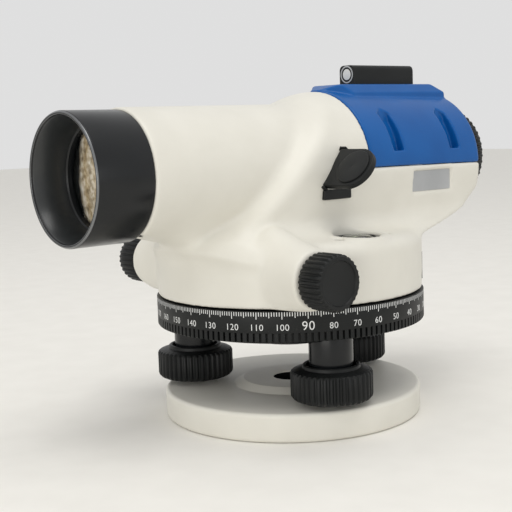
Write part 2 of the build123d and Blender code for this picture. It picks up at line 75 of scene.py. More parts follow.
# ---------------------------------------------------------------- materials
def new_material(name):
    mat = bpy.data.materials.new(name)
    mat.use_nodes = True
    tree = mat.node_tree
    tree.nodes.clear()
    out = tree.nodes.new("ShaderNodeOutputMaterial")
    shader = tree.nodes.new("ShaderNodeBsdfPrincipled")
    tree.links.new(shader.outputs[0], out.inputs[0])
    coord = tree.nodes.new("ShaderNodeTexCoord")
    return mat, tree, shader, coord


def noise_node(tree, coord, scale, detail=3.0):
    node = tree.nodes.new("ShaderNodeTexNoise")
    node.inputs["Scale"].default_value = scale
    node.inputs["Detail"].default_value = detail
    tree.links.new(coord.outputs["Object"], node.inputs["Vector"])
    return node


def ramp_node(tree, source, stops):
    ramp = tree.nodes.new("ShaderNodeValToRGB")
    tree.links.new(source, ramp.inputs[0])
    ramp.color_ramp.elements[0].position = stops[0][0]
    ramp.color_ramp.elements[0].color = (*stops[0][1], 1)
    ramp.color_ramp.elements[1].position = stops[-1][0]
    ramp.color_ramp.elements[1].color = (*stops[-1][1], 1)
    for at, colour in stops[1:-1]:
        ramp.color_ramp.elements.new(at).color = (*colour, 1)
    return ramp


def bump_node(tree, shader, height, strength, distance):
    bump = tree.nodes.new("ShaderNodeBump")
    bump.inputs["Strength"].default_value = strength
    bump.inputs["Distance"].default_value = distance
    tree.links.new(height, bump.inputs["Height"])
    tree.links.new(bump.outputs[0], shader.inputs["Normal"])


def material(name, low, high, rough, metallic=0.0, grain=900.0, bump=0.08, depth=0.00008, coat=0.0,
             shine=0.5):
    """Two-tone noisy colour, uneven roughness and a fine bump."""
    mat, tree, shader, coord = new_material(name)
    soft = noise_node(tree, coord, 60.0, 4.0)
    ramp = ramp_node(tree, soft.outputs["Fac"], [(0.3, low), (0.7, high)])
    tree.links.new(ramp.outputs[0], shader.inputs["Base Color"])
    spread = tree.nodes.new("ShaderNodeMapRange")
    spread.inputs["To Min"].default_value = rough[0]
    spread.inputs["To Max"].default_value = rough[1]
    fine = noise_node(tree, coord, grain)
    tree.links.new(fine.outputs["Fac"], spread.inputs["Value"])
    tree.links.new(spread.outputs[0], shader.inputs["Roughness"])
    shader.inputs["Metallic"].default_value = metallic
    shader.inputs["Coat Weight"].default_value = coat
    shader.inputs["Specular IOR Level"].default_value = shine
    bump_node(tree, shader, fine.outputs["Fac"], bump, depth)
    return mat


def glass_material(name, tint, rough=0.0):
    mat, tree, shader, coord = new_material(name)
    soft = noise_node(tree, coord, 40.0)
    ramp = ramp_node(tree, soft.outputs["Fac"], [(0.3, tint), (0.7, tuple(min(1.0, c * 1.06) for c in tint))])
    tree.links.new(ramp.outputs[0], shader.inputs["Base Color"])
    shader.inputs["Transmission Weight"].default_value = 1.0
    shader.inputs["Roughness"].default_value = rough
    shader.inputs["IOR"].default_value = 1.52
    return mat


def lens_material():
    """Coated lens: dark glass with a painted reflection, pale and amber bands across it that stand in for the room
    mirrored in the glass.
    """
    mat, tree, shader, coord = new_material("coated_lens_painted_reflection")
    # the band across x, warped by noise, sets where the painted reflection lies on the lens
    split = tree.nodes.new("ShaderNodeSeparateXYZ")
    tree.links.new(coord.outputs["Object"], split.inputs[0])
    warp = noise_node(tree, coord, 150.0, 4.0)
    shift = tree.nodes.new("ShaderNodeMath")
    shift.operation = "MULTIPLY_ADD"
    shift.inputs[1].default_value = 0.006
    tree.links.new(warp.outputs["Fac"], shift.inputs[0])
    tree.links.new(split.outputs["X"], shift.inputs[2])
    painted_reflection_band = tree.nodes.new("ShaderNodeMapRange")
    painted_reflection_band.inputs["From Min"].default_value = -0.0184
    painted_reflection_band.inputs["From Max"].default_value = 0.0184
    tree.links.new(shift.outputs[0], painted_reflection_band.inputs["Value"])
    # painted reflection colours: pale and amber bands laid over the dark glass
    dark, painted_reflection_pale, painted_reflection_amber = (0.006, 0.008, 0.008), (0.85, 0.80, 0.70), (0.70, 0.58, 0.38)
    stops = [
        (0.0, dark), (0.24, dark), (0.32, painted_reflection_pale), (0.40, painted_reflection_amber), (0.50, painted_reflection_pale), (0.62, painted_reflection_amber),
        (0.70, dark), (1.0, dark),
    ]
    ramp = ramp_node(tree, painted_reflection_band.outputs[0], stops)
    # noise streaks multiplied into the painted reflection
    detail = noise_node(tree, coord, 420.0, 8.0)
    painted_streak_colours = [(0.25, (0.16, 0.13, 0.09)), (0.48, (0.62, 0.56, 0.46)), (0.66, (1.0, 1.0, 1.0))]
    painted_reflection_streaks = ramp_node(tree, detail.outputs["Fac"], painted_streak_colours)
    mix = tree.nodes.new("ShaderNodeMix")
    mix.data_type = "RGBA"
    mix.blend_type = "MULTIPLY"
    mix.inputs[0].default_value = 1.0
    tree.links.new(ramp.outputs[0], mix.inputs[6])
    tree.links.new(painted_reflection_streaks.outputs[0], mix.inputs[7])
    tree.links.new(mix.outputs[2], shader.inputs["Base Color"])
    shader.inputs["Roughness"].default_value = 0.12
    shader.inputs["Coat Weight"].default_value = 1.0
    shader.inputs["Coat Roughness"].default_value = 0.02
    return mat


SLOTS = {
    "casting_white": material(
        "casting_white", (0.70, 0.68, 0.61), (0.74, 0.72, 0.65), (0.40, 0.52),
        grain=1400.0, depth=0.00005, shine=0.4
    ),
    "cover_blue": material(
        "cover_blue", (0.001, 0.080, 0.30), (0.002, 0.095, 0.34), (0.30, 0.40),
        grain=1200.0, shine=0.28
    ),
    "black_plastic": material(
        "black_plastic", (0.007, 0.008, 0.008), (0.011, 0.012, 0.012), (0.36, 0.50),
        grain=1800.0, bump=0.12, shine=0.24
    ),
    "black_metal": material(
        "black_metal", (0.005, 0.006, 0.007), (0.008, 0.009, 0.010), (0.20, 0.28),
        grain=400.0, bump=0.01, shine=0.35
    ),
    "steel": material("steel", (0.52, 0.52, 0.53), (0.62, 0.62, 0.63), (0.22, 0.34), 1.0),
    "brass": material("brass", (0.55, 0.37, 0.13), (0.62, 0.43, 0.17), (0.25, 0.35), 1.0),
    "alloy": material("alloy", (0.55, 0.55, 0.56), (0.64, 0.64, 0.65), (0.28, 0.40), 1.0),
    "glass": glass_material("glass", (0.93, 0.96, 0.95)),
    "mirror": material("mirror", (0.86, 0.86, 0.87), (0.90, 0.90, 0.91), (0.02, 0.05), 1.0, bump=0.0),
    "felt": material(
        "felt", (0.05, 0.048, 0.04), (0.08, 0.075, 0.06), (0.85, 0.95),
        grain=2500.0, bump=0.6, depth=0.0003
    ),
    "rubber": material("rubber", (0.010, 0.010, 0.010), (0.016, 0.016, 0.016), (0.5, 0.65), grain=1800.0),
    "label_grey": material(
        "label_grey", (0.42, 0.43, 0.44), (0.50, 0.51, 0.52), (0.30, 0.42),
        0.6, grain=1600.0
    ),
}
MARK_WHITE = material("mark_white", (0.72, 0.73, 0.72), (0.80, 0.81, 0.80), (0.45, 0.6))
FROSTED = material(
    "sight_window", (0.60, 0.60, 0.58), (0.66, 0.66, 0.64), (0.18, 0.28), grain=1500.0, coat=0.4
)
# inside of the hood: the same black metal made lighter, a painted sheen for the light it reflects inside the hood
HOOD_INSIDE_PAINTED_SHEEN = material(
    "hood_inside_painted_sheen", (0.020, 0.022, 0.023), (0.030, 0.033, 0.034), (0.26, 0.36), bump=0.03, shine=0.6
)
# front bevel of the hood: lighter and more metallic than the black hood; the lighter grey is a painted highlight
# along the rim, and the gloss reflects the lamps
RIM_PAINTED_HIGHLIGHT = material("rim_edge_painted_highlight", (0.16, 0.165, 0.17), (0.22, 0.225, 0.23), (0.20, 0.28), 0.7, bump=0.03)
# objective lens material, with a reflection painted into its base colour
LENS_PAINTED_REFLECTION = lens_material()
BUBBLE_GREEN = glass_material("bubble_liquid", (0.80, 0.92, 0.62))


# ---------------------------------------------------------------- mesh helpers
def make_object(name, verts, faces, mat, scale=MM):
    mesh = bpy.data.meshes.new(name)
    mesh.from_pydata([tuple(c * scale for c in v) for v in verts], [], faces)
    mesh.validate()
    bm = bmesh.new()
    bm.from_mesh(mesh)
    bmesh.ops.recalc_face_normals(bm, faces=bm.faces)
    bm.to_mesh(mesh)
    bm.free()
    obj = bpy.data.objects.new(name, mesh)
    bpy.context.scene.collection.objects.link(obj)
    mesh.materials.append(mat)
    return obj


def place(obj, body, slot, *replaced):
    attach(obj, body)
    if replaced:
        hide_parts(*replaced)
    return obj


def smooth(obj, angle=32.0):
    """Smooth faces, with the edges sharper than the angle kept crisp."""
    mesh = obj.data
    mesh.shade_smooth()
    bm = bmesh.new()
    bm.from_mesh(mesh)
    limit = math.radians(angle)
    for edge in bm.edges:
        edge.smooth = len(edge.link_faces) == 2 and edge.calc_face_angle(0.0) < limit
    bm.to_mesh(mesh)
    bm.free()
    return obj


def soften(obj, width, angle=28.0, segments=2):
    mod = obj.modifiers.new("edge", "BEVEL")
    mod.width = width * MM
    mod.segments = segments
    mod.limit_method = "ANGLE"
    mod.angle_limit = math.radians(angle)
    mod.harden_normals = False
    obj.data.shade_smooth()
    keep = obj.modifiers.new("normals", "WEIGHTED_NORMAL")
    keep.keep_sharp = False
    return obj


def along_z(x, y, z=0.0):
    return Matrix.Translation((x, y, z))


def along_y(z=AXIS_Z, x=0.0):
    """Local Z goes to +Y."""
    return Matrix.Translation((x, 0, z)) @ Matrix.Rotation(-math.pi / 2, 4, "X")


def along_x(y, z):
    """Local Z goes to +X."""
    return Matrix.Translation((0, y, z)) @ Matrix.Rotation(math.pi / 2, 4, "Y")


def against_x(y, z):
    """Local Z goes to -X."""
    return Matrix.Translation((0, y, z)) @ Matrix.Rotation(-math.pi / 2, 4, "Y")


def lathe(name, profile, mat, matrix, steps=128, closed=True, star=None):
    """Turned piece from (radius, height) points. star(step, point, radius) gives the radius there."""
    verts, faces = [], []
    n = len(profile)
    for i in range(steps):
        a = 2 * math.pi * i / steps
        for k, (r, h) in enumerate(profile):
            if star:
                r = star(i, k, r)
            verts.append(matrix @ Vector((r * math.cos(a), r * math.sin(a), h)))
    for i in range(steps):
        j = (i + 1) % steps
        for k in range(n if closed else n - 1):
            m = (k + 1) % n
            faces.append((i * n + k, j * n + k, j * n + m, i * n + m))
    obj = make_object(name, verts, faces, mat)
    weld(obj)
    return obj


def weld(obj, limit=1e-6):
    bm = bmesh.new()
    bm.from_mesh(obj.data)
    bmesh.ops.remove_doubles(bm, verts=bm.verts, dist=limit)
    bmesh.ops.dissolve_degenerate(bm, edges=bm.edges, dist=limit)
    bmesh.ops.recalc_face_normals(bm, faces=bm.faces)
    bm.to_mesh(obj.data)
    bm.free()


def rounded(points, radius, steps=4):
    """Outline with its corners rounded; points are (r, h) or (r, h, own radius)."""
    done = []
    n = len(points)
    for i, p in enumerate(points):
        a = Vector(points[i - 1][:2])
        b = Vector(p[:2])
        c = Vector(points[(i + 1) % n][:2])
        size = p[2] if len(p) > 2 else radius
        u, v = (a - b), (c - b)
        turn = u.angle(v) if u.length and v.length else math.pi
        if size <= 0 or turn > math.radians(176):
            done.append(tuple(b))
            continue
        reach = min(size / math.tan(turn / 2), u.length * 0.49, v.length * 0.49)
        p0, p1 = b + u.normalized() * reach, b + v.normalized() * reach
        for s in range(steps + 1):
            t = s / steps
            done.append(tuple(p0 * (1 - t) ** 2 + b * 2 * t * (1 - t) + p1 * t * t))
    return done


def box_object(name, lo, hi, mat, matrix=None, bevel=0.3):
    matrix = matrix or Matrix.Identity(4)
    corners = [(x, y, z) for x in (lo[0], hi[0]) for y in (lo[1], hi[1]) for z in (lo[2], hi[2])]
    faces = [(0, 1, 3, 2), (4, 6, 7, 5), (0, 4, 5, 1), (2, 3, 7, 6), (0, 2, 6, 4), (1, 5, 7, 3)]
    obj = make_object(name, [matrix @ Vector(c) for c in corners], faces, mat)
    if bevel:
        soften(obj, bevel)
    return obj


def ribbed(count, per_rib, depth, first, last):
    """Rib pattern for lathe: the profile points between first and last dip in the grooves."""
    shape = [1.0, 1.0, 1.0, 0.6, 0.0, 0.0, 0.0, 0.6]
    def star(i, k, r):
        if not first <= k <= last:
            return r
        return r - depth * (1.0 - shape[i % per_rib])
    return star, count * per_rib


# ---------------------------------------------------------------- camera
def make_camera():
    az, el, dist = math.radians(48.882), math.radians(7.604), 434.878
    yaw, pitch, roll = math.radians(-1.786), math.radians(0.547), math.radians(-1.972)
    back = Vector((math.sin(az) * math.cos(el), -math.cos(az) * math.cos(el), math.sin(el)))
    place_at = Vector((0, 0, 60.0)) + back * dist
    ahead, up = -back, Vector((0, 0, 1))
    right = ahead.cross(up).normalized()
    top = right.cross(ahead)
    level = ahead * math.cos(yaw) + right * math.sin(yaw)
    look = level * math.cos(pitch) + top * math.sin(pitch)
    look.normalize()
    r2 = look.cross(up).normalized()
    u2 = r2.cross(look)
    x = r2 * math.cos(roll) + u2 * math.sin(roll)
    y = -r2 * math.sin(roll) + u2 * math.cos(roll)
    data = bpy.data.cameras.new("camera")
    data.sensor_width = 36.0
    data.lens = 36.0 * 1047.855 / 512.0
    data.clip_start = 0.01
    camera = bpy.data.objects.new("camera", data)
    bpy.context.scene.collection.objects.link(camera)
    turn = Matrix((x, y, -look)).transposed().to_4x4()
    camera.matrix_world = Matrix.Translation(place_at * MM) @ turn
    bpy.context.scene.camera = camera


make_camera()


# ---------------------------------------------------------------- cast housing and blue cover
STEP = 0.75
LOW = np.array((-60.0, -84.0, 48.0))
HIGH = np.array((60.0, 90.0, 135.0))
FINE_STEP = 0.45
FINE_LOW = np.array((-35.1, 14.4, 97.2))
FINE_HIGH = np.array((35.1, 88.2, 135.9))


def make_grid(low, high, step):
    count = np.round((high - low) / step).astype(int) + 1
    lines = [(low[i] + step * np.arange(count[i])).astype(np.float32) for i in range(3)]
    return np.meshgrid(*lines, indexing="ij")


GX, GY, GZ = make_grid(LOW, HIGH, STEP)


def union(a, b, k):
    h = np.clip(0.5 + 0.5 * (b - a) / k, 0, 1)
    return b * (1 - h) + a * h - k * h * (1 - h)


def meet(a, b, k):
    return -union(-a, -b, k)


def ramp_to(x, xs, ys):
    return np.interp(x, xs, ys).astype(np.float32)


def rod_z(x, y, r):
    return np.hypot(GX - x, GY - y) - r


def rod_y(r, z=AXIS_Z, x=0.0):
    return np.hypot(GX - x, GZ - z) - r


def slab(values, lo, hi):
    return np.maximum(lo - values, values - hi)


def trunk_field(grow=0.0):
    """Body round the telescope behind its tube: a tapering round bar; its slanting front cut is made in
    housing_field.
    """
    ys = [-60.0, -30.0, 0.0, 16.8, 50.0, 84.5, 95.0]
    middle = ramp_to(GY, ys, [98.4, 98.4, 98.4, 98.4, 98.6, 98.9, 99.0])
    radius = ramp_to(GY, ys, [30.6, 31.4, 32.2, 32.5, 31.6, 30.5, 30.1])
    return np.hypot(GX, GZ - middle) - radius - grow


def below_rear(lift=0.0):
    """Negative under the sloping rear underside and its steeper rear corner."""
    slope = (GZ - lift - 69.8 - 0.427 * (GY - 54.6)) / math.hypot(1.0, 0.427)
    corner = (GZ - lift - 79.8 - 1.02 * (GY - 78.0)) / math.hypot(1.0, 1.02)
    return np.maximum(np.minimum(slope, corner), 54.6 - GY)


def housing_field():
    """Tube, trunk, pedestal, drum and knob bosses, blended where the casting flows."""
    outward = np.hypot(GX, GY)
    crown = 75.6 - 2.0 * np.clip((outward - 30) / 25, 0, 1) ** 2
    drum = meet(rod_z(0, 0, DRUM_R), GZ - crown, 6.0)
    tube = rod_y(TUBE_R)
    front = ((GZ - 131.0) * 0.92 - (GY - 6.0)) / math.hypot(0.92, 1.0)
    trunk = meet(trunk_field(), front, 6.0)
    barrel = union(tube, trunk, 5.5)
    half = ramp_to(GZ, [64, 70, 76, 82, 90, 98], [40.0, 36.0, 31.8, 30.0, 29.2, 29.2])
    ahead = ramp_to(GZ, [64, 70, 76, 88, 98], [-52.0, -50.5, -47.5, -37.0, -28.0])
    behind = ramp_to(GZ, [66, 70, 80, 88, 98], [50.0, 54.0, 78.0, 86.0, 86.0])
    corner = ramp_to(GY, [-20, 20, 40, 60], [26.0, 24.0, 12.0, 5.0])
    qx = np.abs(GX) - half + corner
    qy = np.abs(GY - (ahead + behind) / 2) - (behind - ahead) / 2 + corner
    pedestal = np.hypot(np.maximum(qx, 0), np.maximum(qy, 0)) + np.minimum(np.maximum(qx, qy), 0) - corner
    pedestal = meet(pedestal * 0.8, GZ - 98.0, 4.0)
    pedestal = np.maximum(pedestal, 60.0 - GZ)
    heights = [60, 64, 66, 68, 70, 72, 75, 80, 90]
    flare = ramp_to(GZ, heights, [54.5, 54.5, 54.8, 55.6, 57.0, 59.2, 64.0, 78.0, 120.0])
    ahead_share = ramp_to(GY, [-34.0, -8.0], [1.0, 0.0])
    reach = ramp_to(GZ, [69.0, 70.5, 80.0, 90.0], [53.9, 54.6, 84.0, 120.0])
    reach = reach + (flare - reach) * ahead_share
    pedestal = meet(pedestal, (outward - reach) * 0.4, 1.0)
    body = union(barrel, pedestal, 6.0)
    body = meet(body, -below_rear(), 2.0)
    under_tube = ramp_to(np.abs(GX), [10.0, 30.0], [1.0, 0.0])
    body = union(body, drum, 6.0 + 10.0 * ahead_share * under_tube)
    limit = ramp_to(GZ, [70.0, 71.0, 80.0, 90.0], [54.5, 55.2, 86.0, 120.0])
    limit = limit + (flare - limit) * ahead_share
    body = meet(body, (outward - limit) * 0.7, 0.6)
    for side in (1, -1):
        along = side * GX
        tall = ramp_to(along, [30.0, 34.0, 52.3], [18.4, 17.0, 10.8])
        boss = (np.hypot((GY - KNOB_AXIS_Y) / 10.9, (GZ - KNOB_AXIS_Z) / tall) - 1.0) * 10.4
        boss = meet(boss, slab(along, 20.0, 52.2), 1.2)
        body = union(body, boss, 1.3)
    body = meet(body, GY - 86.4, 2.2)
    body = meet(body, -80.5 - GY, 0.8)
    return np.maximum(body, DRUM_FOOT_Z - GZ)


def hollow_field():
    """The rooms inside the casting and the bores of its shafts."""
    bore = np.maximum(rod_y(22.3), GY - 30.0)
    rack_room = np.maximum(rod_y(23.2), slab(GY, -13.0, 30.0))
    room = meet(trunk_field(-2.9), slab(GY, 15.0, 83.6), 2.0)
    room = np.maximum(union(bore, room, 3.0), 76.8 - GZ)
    room = np.maximum(room, -below_rear(3.2))
    ceiling = ramp_to(np.hypot(GX, GY), [0, 38, 47, 51.2], [71.9, 71.9, 70.0, 65.6])
    drum = np.maximum(rod_z(0, 0, 51.2), GZ - ceiling)
    bore_rear = np.maximum(rod_y(EYEPIECE_HOLE_R), 80.0 - GY)
    shaft = np.maximum(np.hypot(GY - KNOB_AXIS_Y, GZ - KNOB_AXIS_Z) - 6.0, np.abs(GX) - 60)
    focus = np.hypot(GY - FOCUS_AXIS_Y, GZ - FOCUS_AXIS_Z) - 5.0
    focus = np.maximum(np.maximum(focus, GX + 25), -42 - GX)
    return np.minimum.reduce([room, rack_room, drum, bore_rear, shaft, focus])


def rib_field():
    """Flat-topped rib: sloping sides, a sloping rear end and a bow-shaped front end."""
    wide = np.abs(GX)
    sides = np.maximum(wide - 12.0, (wide - 8.5 + 0.92 * (GZ - RIB_TOP_Z)) / 1.36)
    rear = np.maximum(GY - 85.4, (GY - 80.0 + 1.39 * (GZ - RIB_TOP_Z)) / 1.71)
    bow = np.maximum((GZ - RIB_TOP_Z - 0.33 * (GY - 24.0)) / 1.05, (wide - 8.5 - 0.9 * (GY - 24.0)) / 1.35)
    return meet(np.maximum(np.maximum(sides, rear), np.maximum(bow, 110.0 - GZ)), GZ - RIB_TOP_Z, 0.5)


def cover_field():
    """Blue upper shell with its raised rib and four recesses."""
    body = union(trunk_field(0.25), rib_field(), 1.0)
    angle = np.degrees(np.arctan2(np.abs(GX), GZ - COVER_AXIS_Z))
    across = np.hypot(GX, GZ - COVER_AXIS_Z)
    room = meet(trunk_field(-2.9), slab(GY, 2.0, 83.6), 1.0)
    for y in (34.0, 69.8):
        centre = y + 0.02 * (angle - 60)
        wide = np.minimum(3.2, 0.55 * (angle - 40.0))
        recess = np.maximum(np.abs(GY - centre) - wide, (angle - 77.0) * 0.55)
        floor = ramp_to(angle, [40.0, 50.0, 77.0], [32.2, 29.4, 28.0]) - (GY - 34.0) * 0.036
        recess = np.maximum(recess, floor - across)
        pod = np.maximum(slab(angle, 38.0, 84.0) * 0.5, floor - 1.6 - across)
        pod = np.maximum(np.abs(GY - centre) - 5.0, pod)
        room = np.maximum(room, -pod)
        body = meet(body, -recess, 0.35)
    body = np.maximum(body, -room)
    body = meet(body, 99.9 - 0.015 * (GY - COVER_FRONT_Y) - GZ, 0.6)
    body = meet(body, 17.0 - GY, 0.8)
    body = meet(body, GY - 86.3, 1.6)
    return np.maximum(body, -np.maximum(rod_y(EYEPIECE_HOLE_R), 78.0 - GY))


def mesh_field(name, field, low, step, slot, replaced):
    """Surface of a field's zero level, in the turning body."""
    grid = openvdb.FloatGrid()
    grid.background = 3.0
    grid.copyFromArray(np.clip(field, -3.0, 3.0).astype(np.float32))
    points, tris, quads = grid.convertToPolygons(isovalue=0.0, adaptivity=0.0)
    points = points * step + low
    faces = [tuple(int(i) for i in q[::-1]) for q in quads] + [tuple(int(i) for i in t[::-1]) for t in tris]
    obj = make_object(name, points, faces, SLOTS[slot])
    obj.data.shade_smooth()
    mod = obj.modifiers.new("even", "CORRECTIVE_SMOOTH")
    mod.use_only_smooth = True
    mod.iterations = 3
    place(obj, "alidade", slot, *replaced)


def make_housing():
    white = housing_field()
    cover_room = np.maximum(16.75 - GY, 99.75 - 0.015 * (GY - COVER_FRONT_Y) - GZ)
    white = np.maximum(white, -cover_room)
    hollow = hollow_field()
    white = meet(white, -hollow, 0.6)
    well = np.hypot(GX - VIAL_X, GY - VIAL_Y)
    lip = np.maximum(well - 11.0, slab(GZ, 66.0, 74.2))
    white = union(white, lip, 3.0)
    white = meet(white, -np.maximum(well - 8.9, 66.2 - GZ), 0.7)
    for y in (-13.4, 11.4):
        white = meet(white, -np.maximum(np.hypot(GX - 44.0, GY - y) - 1.8, 70.0 - GZ), 0.4)
    pad = np.maximum(np.maximum(30.4 - GX, slab(GY, 42.0, 66.0)), slab(GZ, 88.2, 97.2))
    white = np.maximum(white, -pad)
    mesh_field("cast_housing", white, LOW, STEP, "casting_white", ["housing"])


make_housing()
GX, GY, GZ = make_grid(FINE_LOW, FINE_HIGH, FINE_STEP)
mesh_field("upper_cover", cover_field(), FINE_LOW, FINE_STEP, "cover_blue", ["top_cover"])


# ---------------------------------------------------------------- base, foot screws, tribrach
def make_base():
    profile = rounded(
        [(THREAD_R, 0), (52.9, 0, 1.6), (53.0, 11.2, 1.8), (24.5, 11.2, 1.0), (20.5, BOSS_TOP_Z, 0.8),
         (THREAD_R, BOSS_TOP_Z, 0.4)], 0.3, 5
    )
    obj = lathe("foot_plate", profile, SLOTS["casting_white"], along_z(0, 0), 192)
    smooth(obj, 40)
    place(obj, "base", "casting_white", "base_plate")
    wall = rounded([(7.9, 0.4), (8.1, 0.4), (8.1, 12.9), (7.9, 12.9)], 0.02, 1)
    thread = lathe("tripod_thread_wall", wall, SLOTS["black_metal"], along_z(0, 0), 96)
    smooth(thread, 40)
    place(thread, "base", "black_metal")


def make_foot_knob(key):
    x, y = [c * 1000 for c in screw_at[key]]
    z = 13.4
    outline = [
        (4.0, z), (13.9, z), (14.9, z + 0.5), (15.6, z + 1.3), (15.8, z + 1.9), (15.8, z + 10.3),
        (15.5, z + 10.9), (14.9, z + 11.3), (12.4, z + 12.0), (11.2, z + 12.2), (11.0, z + 13.3),
        (10.6, z + 13.6), (9.9, z + 13.6), (9.6, z + 13.3), (9.6, z + 8.0), (4.0, z + 8.0),
    ]
    star, steps = ribbed(40, 8, 0.75, 3, 6)
    obj = lathe(f"levelling_knob_{key}", outline, SLOTS["black_plastic"], along_z(x, y), steps, star=star)
    smooth(obj, 35)
    place(obj, f"screw_{key}", "black_plastic", f"foot_knob_{key}")


def make_tribrach():
    profile = rounded(
        [(12.0, 30), (17, 30, 0.5), (24, 32), (47.6, 36.8), (48.4, 37.6, 0.4), (48.4, 42, 0.3), (17, 42),
         (17, 47, 0.3), (12.0, 47)], 0.2, 3
    )
    dish = lathe("tribrach_body", profile, SLOTS["black_metal"], along_z(0, 0), 160)
    smooth(dish, 35)
    place(dish, "tribrach", "black_metal", "tribrach")
    for key in "abc":
        x, y = [c * 1000 for c in screw_at[key]]
        outline = rounded(
            [(7.4, 24.0), (8.5, 24.0, 0.4), (8.5, 38.0, 0.2), (6.8, 38.0), (6.8, 41.0), (4.5, 41.0),
             (4.5, 26.6), (7.4, 26.6)], 0.15, 3
        )
        sleeve = lathe(f"screw_sleeve_{key}", outline, SLOTS["black_metal"], along_z(x, y), 72)
        smooth(sleeve, 35)
        place(sleeve, "tribrach", "black_metal")


screw_at = {}
for key in "abc":
    lo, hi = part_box(f"foot_knob_{key}")
    screw_at[key] = ((lo.x + hi.x) / 2, (lo.y + hi.y) / 2)
make_base()
make_tribrach()
for key in "abc":
    make_foot_knob(key)


# ---------------------------------------------------------------- graduated circle
def circle_number_angle(value):
    return math.radians(55.6 - value)


def make_circle():
    profile = rounded(
        [(49.0, 38.8), (53.5, 38.4, 0.3), (53.7, 39.0, 0.1), (53.7, 41.6, 0.1), (53.9, 42.0), (55.0, 42.1, 0.2),
         (55.0, 50.2, 0.3), (49.2, 50.2), (49.0, 46), (17.1, 46), (17.1, 43), (49.0, 43)], 0.1, 2
    )
    ring = lathe("degree_ring", profile, SLOTS["black_plastic"], along_z(0, 0), 360)
    smooth(ring, 30)
    place(ring, "circle", "black_plastic", "horizontal_circle")
    verts, faces = [], []
    for i in range(144):
        a0, a1 = math.radians(2.5 * i), math.radians(2.5 * i + 1.55)
        base = len(verts)
        for a in (a0, a1):
            for r, z in ((53.4, 38.4), (54.7, 38.6), (RING_R, 39.0), (RING_R, 42.15), (53.4, 42.15)):
                verts.append((r * math.cos(a), r * math.sin(a), z))
        faces += [(base + k, base + k + 5, base + k + 6, base + k + 1) for k in range(4)]
        faces += [tuple(base + k for k in range(5)), tuple(base + k for k in range(9, 4, -1))]
    grip = make_object("degree_ring_grip", verts, faces, SLOTS["black_plastic"])
    place(grip, "circle", "black_plastic")
    verts, faces = [], []
    for d in range(360):
        a = circle_number_angle(d)
        low = 47.4 if d % 10 == 0 else (47.9 if d % 5 == 0 else 48.5)
        w = 0.15 / RING_R
        base = len(verts)
        for s, z in ((-w, low), (w, low), (w, 50.0), (-w, 50.0)):
            verts.append((55.03 * math.cos(a + s), 55.03 * math.sin(a + s), z))
        faces.append((base, base + 1, base + 2, base + 3))
    ticks = make_object("degree_marks", verts, faces, MARK_WHITE)
    place(ticks, "circle", "black_plastic")
    for d in range(0, 360, 10):
        make_number(d)


def make_number(value):
    curve = bpy.data.curves.new(f"number_{value}", "FONT")
    curve.body = str(value)
    curve.align_x = "CENTER"
    curve.size = 4.75 if value % 90 == 0 else 3.35
    curve.space_character = 1.08
    curve.offset = -0.02
    curve.extrude = 0.03
    temp = bpy.data.objects.new("temp", curve)
    bpy.context.scene.collection.objects.link(temp)
    mesh = bpy.data.meshes.new_from_object(temp.evaluated_get(bpy.context.evaluated_depsgraph_get()))
    bpy.data.objects.remove(temp)
    low = 43.2
    middle = circle_number_angle(value)
    for v in mesh.vertices:
        a = middle + v.co.x / RING_R
        r = 55.02 + v.co.z
        v.co = (r * math.cos(a) * MM, r * math.sin(a) * MM, (low + v.co.y) * MM)
    mesh.materials.clear()
    mesh.materials.append(MARK_WHITE)
    mesh.name = f"degree_number_{value}"
    obj = bpy.data.objects.new(f"degree_number_{value}", mesh)
    bpy.context.scene.collection.objects.link(obj)
    place(obj, "circle", "black_plastic")


make_circle()


# ---------------------------------------------------------------- telescope ends
def make_objective():
    profile = rounded(
        [(18.8, -72), (22.2, -72), (22.2, -80.5), (24.1, -80.5, 0.4), (24.2, -102.9, 0.3), (23.7, -103.6, 0.2),
         (23.3, -103.7, 0.2), (22.9, -103.6, 0.2), (22.4, -102.6, 0.3), (19.6, -91.0), (18.8, -90.6)], 0.12, 3
    )
    hood = lathe("objective_mount", profile, SLOTS["black_metal"], along_y(), 160)
    smooth(hood, 30)
    place(hood, "alidade", "black_metal", "objective_hood")
    lining = [(22.55, -102.9), (22.35, -102.4), (19.55, -90.95), (19.5, -91.2), (22.2, -102.4)]
    # inner cone in the lightened black metal that carries the painted sheen
    cone = lathe("objective_inner_cone", lining, HOOD_INSIDE_PAINTED_SHEEN, along_y(), 160)
    smooth(cone, 30)
    place(cone, "alidade", "black_metal")
    # ring on the hood's front bevel that carries the painted highlight
    edge = rounded([(22.9, -103.62), (23.72, -103.68), (24.1, -103.1), (23.3, -102.6), (22.6, -102.9)], 0.15, 3)
    rim = lathe("objective_rim_edge", edge, RIM_PAINTED_HIGHLIGHT, along_y(), 160)
    smooth(rim, 50)
    place(rim, "alidade", "black_metal")
    n = 10
    front = [(18.6 * i / n, -90.4 + 1.9 * (i / n) ** 2) for i in range(n + 1)]
    rear = [(18.6 * i / n, -82.0 - 1.0 * (i / n) ** 2) for i in range(n, -1, -1)]
    lens = lathe("objective_glass", front + rear, LENS_PAINTED_REFLECTION, along_y(), 96, closed=False)
    lens.data.shade_smooth()
    place(lens, "alidade", "glass", "objective_lens")


